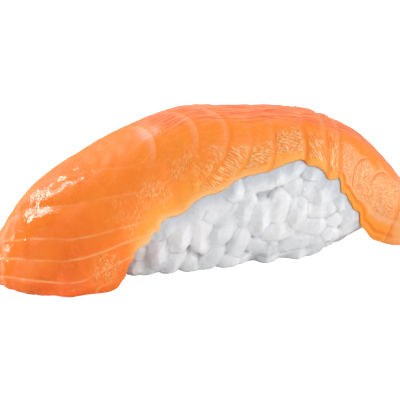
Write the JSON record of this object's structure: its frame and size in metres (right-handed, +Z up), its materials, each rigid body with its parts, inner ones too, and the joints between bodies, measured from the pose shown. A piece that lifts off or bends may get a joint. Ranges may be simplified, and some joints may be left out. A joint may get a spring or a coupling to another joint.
{
  "type": "salmon nigiri",
  "caption": "Piece of salmon nigiri: a slice of raw salmon draped over a hand-pressed block of sushi rice, its ends hanging down to the table.",
  "frame": {"origin": "on the table, under the middle of the bounding box of the whole piece", "axes": "+X along the slice towards its narrower end, -Y towards the broad flank of the slice and the open face of the rice, +Z up"},
  "size_m": [0.085, 0.0314, 0.0272],
  "materials": {
    "salmon_flesh": "raw, wet and glossy, orange with thin pale lines of fat",
    "rice_grains": "cooked, moist and slightly translucent white grains"
  },
  "bodies": {
    "root": {"salmon_slice": "salmon_flesh", "rice_block": "rice_grains"}
  },
  "joints": []
}
